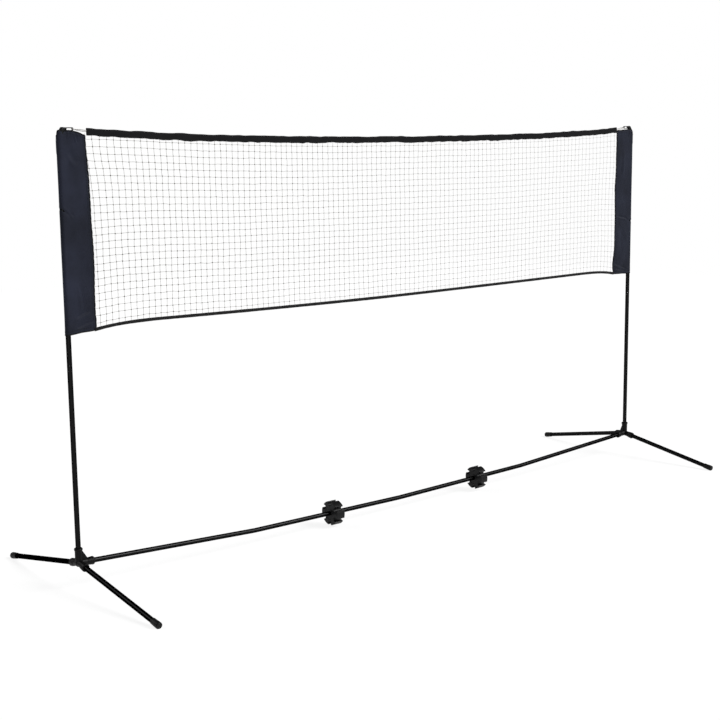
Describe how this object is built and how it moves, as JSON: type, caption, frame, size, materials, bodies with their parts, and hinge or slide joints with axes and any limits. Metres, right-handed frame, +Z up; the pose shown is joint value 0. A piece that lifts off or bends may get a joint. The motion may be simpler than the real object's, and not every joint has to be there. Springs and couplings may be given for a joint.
{
  "type": "portable badminton net",
  "caption": "Free-standing badminton net: sectional posts in four-way hubs with splayed legs, a base bar carrying slotted tube-storage discs, and a knotted net with fabric post sleeves.",
  "frame": {"origin": "on the floor at the centre of the base, midway between the two posts", "axes": "+X along the net from the left post to the right post as seen from the front, +Y to the rear across the base, +Z up"},
  "size_m": [3.0296, 1.0134, 1.58],
  "materials": {
    "tube": "black powder coat, satin",
    "moulding": "moulded, fine matt",
    "disc": "moulded, fine matt",
    "foot": "soft moulded, matt",
    "spigot": "drawn",
    "sleeve_cloth": "woven polyester, dull sheen",
    "twine": "knotted twine",
    "band_tape": "woven tape",
    "pale_cord": "braided",
    "black_cord": "braided"
  },
  "bodies": {
    "base": {"left_hub": "moulding", "right_hub": "moulding", "bar_tube_left_outer": "tube", "bar_tube_left_inner": "tube", "bar_tube_right_inner": "tube", "bar_tube_right_outer": "tube", "bar_spigot_left": "spigot", "bar_spigot_middle": "spigot", "bar_spigot_right": "spigot"},
    "front_left_leg_set": {"front_left_leg": "tube", "front_left_foot": "foot"},
    "rear_left_leg_set": {"rear_left_leg": "tube", "rear_left_foot": "foot"},
    "front_right_leg_set": {"front_right_leg": "tube", "front_right_foot": "foot"},
    "rear_right_leg_set": {"rear_right_leg": "tube", "rear_right_foot": "foot"},
    "left_disc": {"left_storage_disc": "disc"},
    "right_disc": {"right_storage_disc": "disc"},
    "left_lower": {"left_lower_post": "tube"},
    "right_lower": {"right_lower_post": "tube"},
    "left_upper": {"left_upper_post": "tube", "left_post_spigot": "spigot", "left_post_cap": "moulding", "left_sleeve": "sleeve_cloth", "net_mesh": "twine", "net_top_band": "band_tape", "net_head_cord": "pale_cord", "net_bottom_cord": "black_cord"},
    "right_upper": {"right_upper_post": "tube", "right_post_spigot": "spigot", "right_post_cap": "moulding", "right_sleeve": "sleeve_cloth"}
  },
  "joints": [
    {"name": "front_left_leg_pull", "type": "slide", "parent": "base", "child": "front_left_leg_set", "axis": [0, -0.9843, -0.1764], "range_m": [0, 0.05]},
    {"name": "rear_left_leg_pull", "type": "slide", "parent": "base", "child": "rear_left_leg_set", "axis": [0, 0.9843, -0.1764], "range_m": [0, 0.05]},
    {"name": "front_right_leg_pull", "type": "slide", "parent": "base", "child": "front_right_leg_set", "axis": [0, -0.9843, -0.1764], "range_m": [0, 0.05]},
    {"name": "rear_right_leg_pull", "type": "slide", "parent": "base", "child": "rear_right_leg_set", "axis": [0, 0.9843, -0.1764], "range_m": [0, 0.05]},
    {"name": "left_disc_slide", "type": "slide", "parent": "base", "child": "left_disc", "axis": [0.9999, 0, -0.0133], "range_m": [-0.36, 0.33]},
    {"name": "right_disc_slide", "type": "slide", "parent": "base", "child": "right_disc", "axis": [0.9999, 0, 0.0133], "range_m": [-0.44, 0.26]},
    {"name": "left_lower_post_lift", "type": "slide", "parent": "base", "child": "left_lower", "axis": [0, 0, 1], "range_m": [0, 0.05]},
    {"name": "right_lower_post_lift", "type": "slide", "parent": "base", "child": "right_lower", "axis": [0, 0, 1], "range_m": [0, 0.05]},
    {"name": "left_upper_post_lift", "type": "slide", "parent": "left_lower", "child": "left_upper", "axis": [0, 0, 1], "range_m": [0, 0.09]},
    {"name": "right_upper_post_lift", "type": "slide", "parent": "right_lower", "child": "right_upper", "axis": [0, 0, 1], "range_m": [0, 0.09]}
  ],
  "couplings": [
    {"joint": "right_lower_post_lift", "follows": "left_lower_post_lift", "ratio": 1},
    {"joint": "right_upper_post_lift", "follows": "left_upper_post_lift", "ratio": 1}
  ]
}
